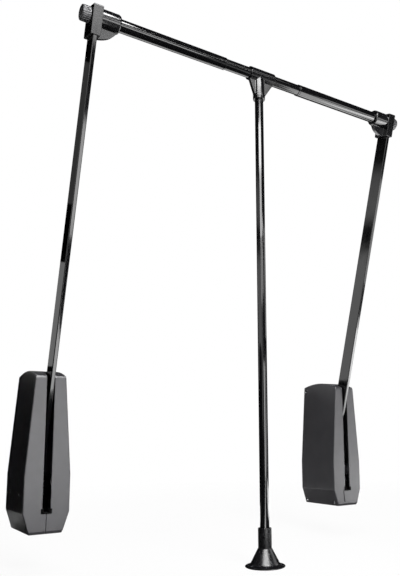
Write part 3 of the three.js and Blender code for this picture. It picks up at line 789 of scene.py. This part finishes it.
def floor_paper():
    """Plain pale paper with a trace of shadow. The camera sees the white surround through it, and the
    rod when it hangs lower, and light from above reaches what is below it."""
    material, tree, paper, where = shader_of("floor_paper")
    paper.inputs["Base Color"].default_value = (paper_tone, paper_tone, paper_tone, 1)
    paper.inputs["Roughness"].default_value = 0.9
    paper.inputs["Specular IOR Level"].default_value = 0
    clear = tree.nodes.new("ShaderNodeBsdfTransparent")
    path = tree.nodes.new("ShaderNodeLightPath")
    from_below = tree.nodes.new("ShaderNodeNewGeometry").outputs["Backfacing"]
    aside = tree.nodes.new("ShaderNodeVectorMath")
    aside.operation = "DISTANCE"
    aside.inputs[1].default_value = (cad_low + cad_high) / 2
    tree.links.new(where, aside.inputs[0])
    to_camera = tree.nodes.new("ShaderNodeMath")
    to_camera.operation = "MULTIPLY"
    tree.links.new(path.outputs["Is Camera Ray"], to_camera.inputs[0])
    ranged(tree, aside.outputs["Value"], *clearness, to_camera.inputs[1], clear_span)
    share = tree.nodes.new("ShaderNodeMath")
    share.operation = "MAXIMUM"
    tree.links.new(to_camera.outputs[0], share.inputs[0])
    tree.links.new(from_below, share.inputs[1])
    mixed = blended(tree, share.outputs[0], paper.outputs[0], clear.outputs[0])
    tree.links.new(mixed, tree.nodes["Material Output"].inputs["Surface"])
    return material


def plain_black():
    """Black cloth that reflects nothing."""
    material, _, cloth, _ = shader_of("black_flag")
    cloth.inputs["Base Color"].default_value = (flag_tone, flag_tone, flag_tone, 1)
    cloth.inputs["Specular IOR Level"].default_value = 0
    return material


def card_light(radiance):
    """A plain light of one radiance. Rays meet it only by chance, which leaves less grain on gloss."""
    material = bpy.data.materials.new("card_light")
    material.use_nodes = True
    tree = material.node_tree
    light = tree.nodes.new("ShaderNodeEmission")
    light.inputs["Strength"].default_value = radiance
    material.cycles.emission_sampling = "NONE"
    tree.links.new(light.outputs[0], tree.nodes["Material Output"].inputs["Surface"])
    return material


def laid(level, *corners):
    """Corners of a sheet that lies at a level."""
    return [(x, y, level) for x, y in corners]


def flat(x0, x1, y0, y1, level):
    """Corners of a rectangle that lies at a level."""
    return laid(level, (x0, y0), (x1, y0), (x1, y1), (x0, y1))


def standing(x0, x1, y, z0, z1):
    """Corners of a rectangle that stands and faces the front."""
    return [(x0, y, z0), (x1, y, z0), (x1, y, z1), (x0, y, z1)]


def standing_aside(x, y0, y1, z0, z1):
    """Corners of a rectangle that stands and faces the side."""
    return [(x, y0, z0), (x, y1, z0), (x, y1, z1), (x, y0, z1)]


def faced(place, target, size):
    """Corners of a square that faces a target."""
    place = Vector(place)
    turn = (Vector(target) - place).to_track_quat("-Z", "Y")
    corners = [(-size, -size), (size, -size), (size, size), (-size, size)]
    return [place + turn @ Vector((x / 2, y / 2, 0)) for x, y in corners]


def bent_card(name, start, end, low, high, radiance, radius=band_radius):
    """A lit band bent round the handle between two azimuths in degrees, counted from -Y to +X."""
    points = []
    for k in range(bent_steps + 1):
        turn = radians(start + (end - start) * k / bent_steps)
        x, y = handle_axis.x + radius * sin(turn), handle_axis.y - radius * cos(turn)
        points += [(x, y, low), (x, y, high)]
    faces = [(2 * k, 2 * k + 2, 2 * k + 3, 2 * k + 1) for k in range(bent_steps)]
    stage_sheet(name, points, faces, card_light(radiance), ("glossy",))


def lamp(name, place, target, width, height, radiance):
    """A soft rectangular lamp for plain light, shown by no surface and unseen by the camera."""
    data = bpy.data.lights.new(name, "AREA")
    data.shape = "RECTANGLE"
    data.size, data.size_y = width, height
    data.energy = radiance * pi * width * height
    light = bpy.data.objects.new(name, data)
    light.location = place
    light.rotation_euler = (Vector(target) - Vector(place)).to_track_quat("-Z", "Y").to_euler()
    light.visible_camera = False
    light.visible_glossy = False
    bpy.context.scene.collection.objects.link(light)


floor = flat(-floor_reach, floor_reach, -floor_reach, floor_reach, floor_level)
stage_plane("floor", floor, floor_paper(), "camera", "diffuse", "glossy", "shadow")
for name, corners, *seen_by in (
        ("left_flag", flat(-3, -0.02, -3, 0.3, sheet_level), "glossy", "diffuse"),
        ("front_flag", flat(-0.02, 0.93, -3, 0.3, sheet_level), "glossy"),
        ("side_flag", standing_aside(-0.4, -0.9, 0.3, -0.12, 0.36), "glossy", "diffuse"),
        ("back_flag", standing(-1.5, 0.6, 0.2, -0.075, 0.24), "glossy", "diffuse")):
    stage_plane(name, corners, plain_black(), *seen_by)

low_corners = ((1.32, -1.5), (2.1, -1.5), (1.85, 0.6), (1.14, 0.6), (0.95, -0.35))
arm_corners = ((1.12, -0.4), (1.22, -0.34), (1.95, -1.28), (1.83, -1.38))
rear_corners = ((0.35, 0.31), (1.05, 0.31), (2.2, 3.2), (0.9, 3.2))
for name, corners, radiance in (
        ("front_card", standing(0.07, 1.17, front_wall, -0.12, 0.44), 7),
        ("near_card", flat(0.08, 0.34, front_wall, -0.6, card_level), 7.5),
        ("bracket_card", standing(0.25, 0.95, front_wall, 0.77, 1.02), 5.6),
        ("line_card", standing(0.7, 1.5, front_wall, 1.12, 1.19), 13),
        ("corner_card", standing(1.9, 3.3, front_wall, -0.12, 0.55), 3.6),
        ("low_card", laid(sheet_level, *low_corners), 6),
        ("arm_card", laid(card_level, *arm_corners), 14),
        ("rear_card", laid(sheet_level, *rear_corners), 3),
        ("left_arm_card_1", standing(-0.3, 0.05, 0.35, 0.215, 0.51), 0.55),
        ("left_arm_card_2", standing(-0.3, 0.05, 0.35, 0.66, 1.05), 0.12),
        ("left_brow_card", faced((0.488, -1.736, 2.127), (0.038, -0.056, 0.195), 0.55), 36)):
    stage_plane(name, corners, card_light(radiance), "glossy")
for band in (
        ("handle_band", -56, 4, 1.26, 1.49, 22),
        ("upper_band", -32, 0, 1.49, 1.585, 12),
        ("tee_band", -64, 12, 1.645, 1.82, 22),
        ("bell_band", -60, 0, 1.85, 2.25, 12),
        ("bell_core", -36, -8, 1.9, 2.2, 44, 1.58),
        ("web_band", 27, 39, 1.62, 1.82, 3.4, 1.64),
        ("side_band", 58, 88, 0.5, 1, 2.8),
        ("trail_1", -48, 0, 0.95, 1.26, 11),
        ("trail_2", -44, -10, 0.65, 0.95, 4.2),
        ("trail_3", -44, -10, 0.3, 0.65, 0.8)):
    bent_card(*band)
lamp("key_lamp", (0.25, -1.75, 0.95), (0.36, 0, 0.2), 0.7, 0.7, 22)
lamp("top_lamp", (0.4, -0.3, 2.6), (0.4, -0.3, 0), 1.6, 1, 6)
lamp("back_lamp", (0.37, 2.2, 0.9), (0.37, 0, 0.1), 1.2, 0.8, 4)

# Surround
# The camera sees plain white. Glossy surfaces see bands of light at some heights, on the left only. All
# other light from around is dim and even.

dim_tone, left_span, left_radiance = 0.05, (-0.45, -0.62), 1.6
tones_by_height = (
    (0, 0.01), (0.02, 1), (0.268, 1), (0.281, 0.02), (0.312, 0.02), (0.322, 0.8), (0.38, 0.6),
    (0.392, 0.01), (1, 0.01))
world = bpy.data.worlds.new("studio")
world.use_nodes = True
bpy.context.scene.world = world
tree = world.node_tree
dim = tree.nodes["Background"]
dim.inputs["Color"].default_value = (dim_tone, dim_tone, dim_tone, 1)
white = tree.nodes.new("ShaderNodeBackground")
white.inputs["Color"].default_value = (1, 1, 1, 1)
around = tree.nodes.new("ShaderNodeBackground")
path = tree.nodes.new("ShaderNodeLightPath")
direction = tree.nodes.new("ShaderNodeSeparateXYZ")
tree.links.new(tree.nodes.new("ShaderNodeTexCoord").outputs["Generated"], direction.inputs[0])
heights = tree.nodes.new("ShaderNodeValToRGB")
elements = heights.color_ramp.elements
for k, (position, tone) in enumerate(tones_by_height):
    element = elements[k] if k < len(elements) else elements.new(position)
    element.position, element.color = position, (tone, tone, tone, 1)
tree.links.new(direction.outputs["Z"], heights.inputs["Fac"])
tree.links.new(heights.outputs["Color"], around.inputs["Color"])
ranged(tree, direction.outputs["X"], 0, left_radiance, around.inputs["Strength"], left_span)
for_glossy = blended(tree, path.outputs["Is Glossy Ray"], dim.outputs[0], around.outputs[0])
for_camera = blended(tree, path.outputs["Is Camera Ray"], for_glossy, white.outputs[0])
tree.links.new(for_camera, tree.nodes["World Output"].inputs["Surface"])

bpy.context.scene.view_settings.view_transform = "Standard"
